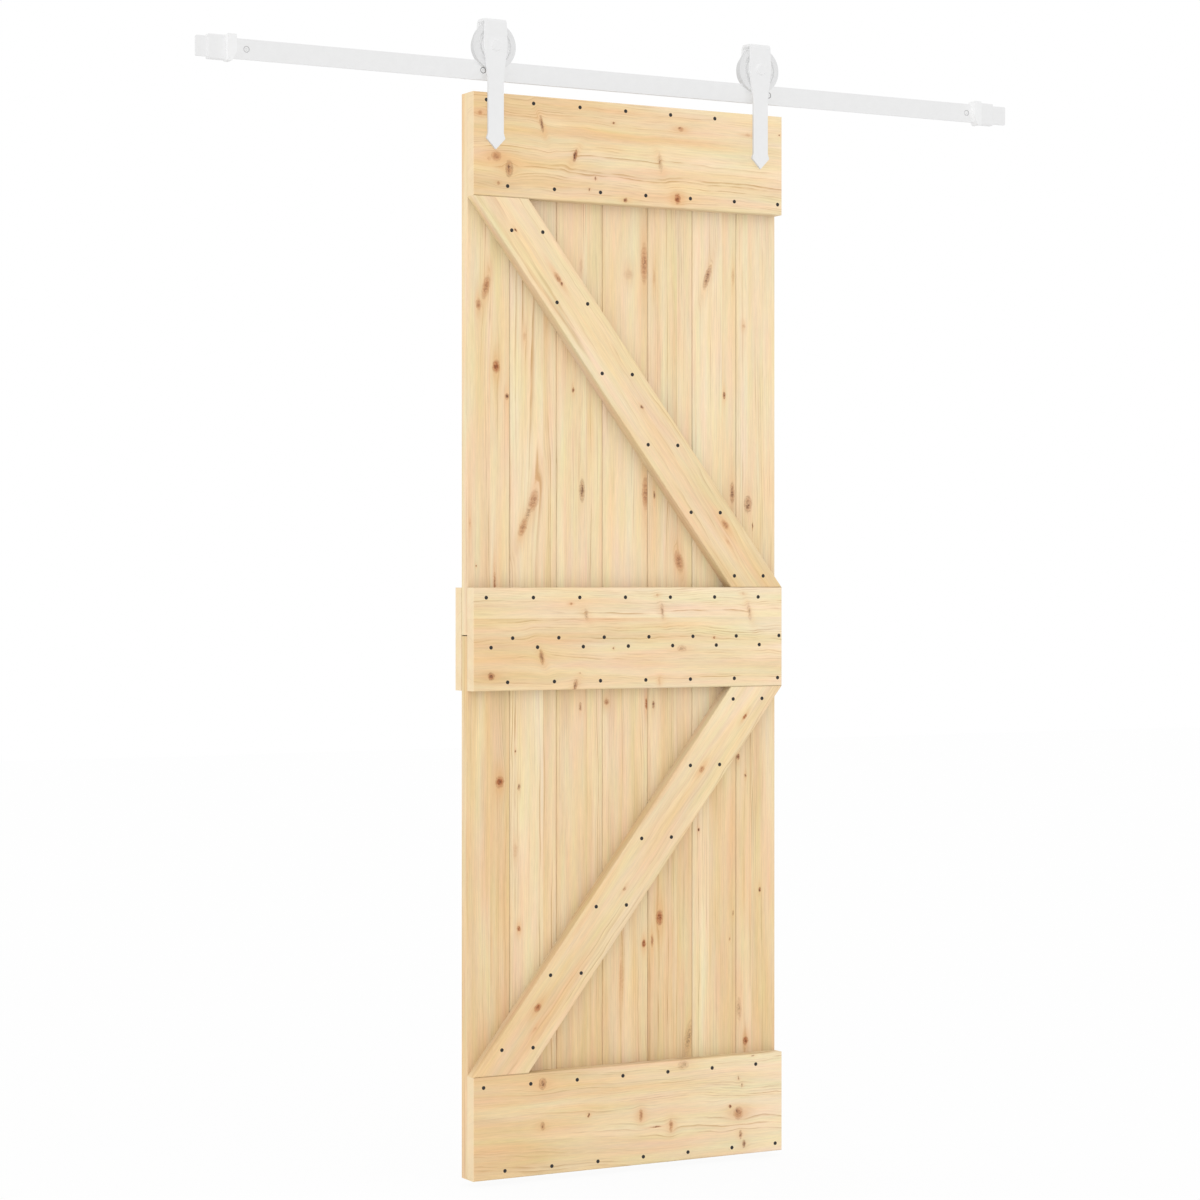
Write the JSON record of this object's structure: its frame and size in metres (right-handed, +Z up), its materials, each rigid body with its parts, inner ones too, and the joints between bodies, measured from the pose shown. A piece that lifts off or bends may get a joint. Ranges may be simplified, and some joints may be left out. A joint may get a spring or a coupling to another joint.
{
  "type": "sliding barn door",
  "caption": "Sliding plank door with diagonal braces, hung by two arrow-shaped straps and grooved wheels on a flat wall track with end stops.",
  "frame": {"origin": "centre of the wall face of the left inner spacer, at half the track bar's height", "axes": "+X along the track to the right seen from the front, -Y to the front, +Z up; the wall is the plane y = 0"},
  "size_m": [1.83, 0.0995, 2.2428],
  "materials": {
    "pine_boards": "planed bare pine boards with knots",
    "pine_rails": "planed bare pine rails and braces with knots",
    "white_steel": "white powder coat, satin",
    "wheels": "white coated turned wheel, satin",
    "bolts": "white coated bolts, satin",
    "bumpers": "white elastomer block, matte"
  },
  "bodies": {
    "track": {"inner_left_spacer": "white_steel", "inner_right_spacer": "white_steel", "left_stop_bumper": "bumpers", "left_stop_clamp": "white_steel", "outer_left_spacer": "white_steel", "outer_right_spacer": "white_steel", "right_stop_bumper": "bumpers", "right_stop_clamp": "white_steel", "track_bar": "white_steel"},
    "door": {"back_rail": "pine_rails", "bottom_rail": "pine_rails", "left_axle": "bolts", "left_axle_nut": "bolts", "left_hanger": "white_steel", "lower_board_1": "pine_boards", "lower_board_2": "pine_boards", "lower_board_3": "pine_boards", "lower_board_4": "pine_boards", "lower_board_5": "pine_boards", "lower_board_6": "pine_boards", "lower_board_7": "pine_boards", "lower_brace": "pine_rails", "middle_rail": "pine_rails", "right_axle": "bolts", "right_axle_nut": "bolts", "right_hanger": "white_steel", "top_rail": "pine_rails", "upper_board_1": "pine_boards", "upper_board_2": "pine_boards", "upper_board_3": "pine_boards", "upper_board_4": "pine_boards", "upper_board_5": "pine_boards", "upper_board_6": "pine_boards", "upper_board_7": "pine_boards", "upper_brace": "pine_rails"},
    "left_wheel": {"left_wheel": "wheels"},
    "right_wheel": {"right_wheel": "wheels"}
  },
  "joints": [
    {"name": "door_slide", "type": "slide", "parent": "track", "child": "door", "axis": [1, 0, 0], "range_m": [-0.489, 0.485]},
    {"name": "left_wheel_spin", "type": "hinge", "parent": "door", "child": "left_wheel", "pos_m": [0.02, -0.078, 0.0473], "axis": [0, 1, 0], "range_deg": [-1080, 1080]},
    {"name": "right_wheel_spin", "type": "hinge", "parent": "door", "child": "right_wheel", "pos_m": [0.62, -0.078, 0.0473], "axis": [0, 1, 0], "range_deg": [-1080, 1080]}
  ],
  "couplings": [
    {"joint": "left_wheel_spin", "follows": "door_slide", "rad_per_m": 35.714},
    {"joint": "right_wheel_spin", "follows": "door_slide", "rad_per_m": 35.714}
  ]
}
